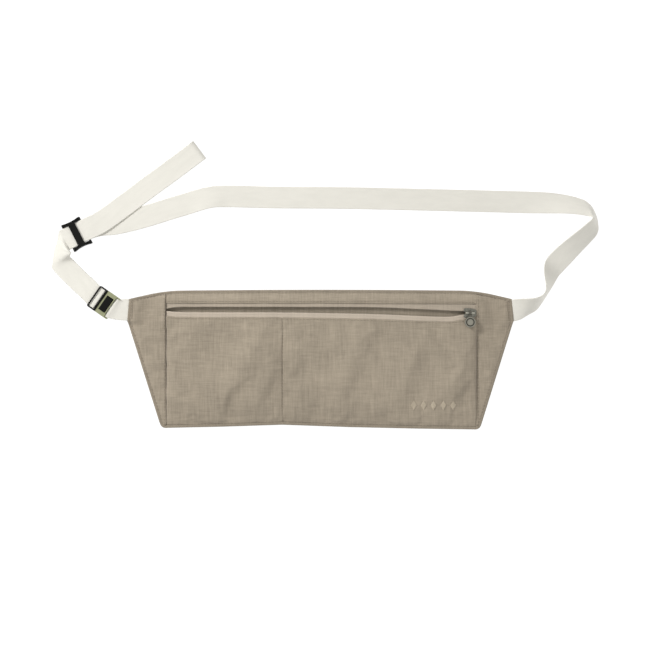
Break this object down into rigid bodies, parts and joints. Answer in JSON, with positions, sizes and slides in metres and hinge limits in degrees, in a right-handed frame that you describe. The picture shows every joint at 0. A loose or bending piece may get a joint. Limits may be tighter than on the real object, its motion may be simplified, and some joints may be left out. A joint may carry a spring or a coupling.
{
  "type": "money belt",
  "caption": "Flat fabric money belt: a slim zipped pouch with two pockets on an adjustable webbing waist strap, with a slide adjuster and a release buckle, laid out flat.",
  "frame": {"origin": "middle of the underside of the back panel, where the belt lies on a flat surface", "axes": "+X along the pouch towards the end with the zip slider, +Y towards the pouch's top edge, +Z away from the wearer"},
  "size_m": [0.5059, 0.2653, 0.0198],
  "materials": {
    "pouch_cloth": "fine woven nylon",
    "zip_tape": "smooth woven tape",
    "zip_coil": "nylon monofilament",
    "thread": "sewing thread",
    "webbing": "close herringbone webbing",
    "gunmetal": "dark plated die casting",
    "black_plastic": "moulded acetal",
    "olive_plastic": "moulded acetal"
  },
  "bodies": {
    "belt": {"back_panel": "pouch_cloth", "front_panel_left": "pouch_cloth", "front_panel_right": "pouch_cloth", "upper_front_strip": "pouch_cloth", "left_side_panel": "pouch_cloth", "right_side_panel": "pouch_cloth", "bottom_hem": "pouch_cloth", "zip_tape_lower": "zip_tape", "zip_tape_upper": "zip_tape", "zip_coil_lower": "zip_coil", "zip_coil_upper": "zip_coil", "divider_stitching": "thread", "left_strap_bar_tack": "thread", "right_strap_bar_tack": "thread", "embroidered_motif": "thread", "strap_twist": "webbing", "strap_far_turn": "webbing", "strap_back_run": "webbing", "strap_to_adjuster": "webbing", "strap_loop_lower": "webbing", "strap_loop_upper": "webbing", "strap_free_end": "webbing", "strap_buckle_wrap": "webbing", "short_strap_wrap": "webbing", "short_strap_lower": "webbing", "short_strap_upper": "webbing", "buckle_male_half": "black_plastic", "buckle_housing": "olive_plastic"},
    "slider": {"zip_slider": "gunmetal"},
    "pull": {"zip_pull": "gunmetal"},
    "adjuster": {"tri_glide": "black_plastic"},
    "push_tab": {"buckle_push_tab": "black_plastic"}
  },
  "joints": [
    {"name": "zip_slide", "type": "slide", "parent": "belt", "child": "slider", "axis": [-0.9999, 0.0117, 0], "range_m": [0, 0.26502]},
    {"name": "pull_swing", "type": "hinge", "parent": "slider", "child": "pull", "pos_m": [0.137, 0.0432, 0.0097], "axis": [-0.9999, 0.0117, 0], "range_deg": [0, 150]},
    {"name": "adjuster_slide", "type": "slide", "parent": "belt", "child": "adjuster", "axis": [0.891, 0.454, 0], "range_m": [-0.003, 0.003]},
    {"name": "tab_press", "type": "hinge", "parent": "belt", "child": "push_tab", "pos_m": [-0.20011, 0.05365, 0.0032], "axis": [0.5693, 0.8221, 0], "range_deg": [0, 9], "stiffness_Nm_per_rad": 0.05}
  ]
}
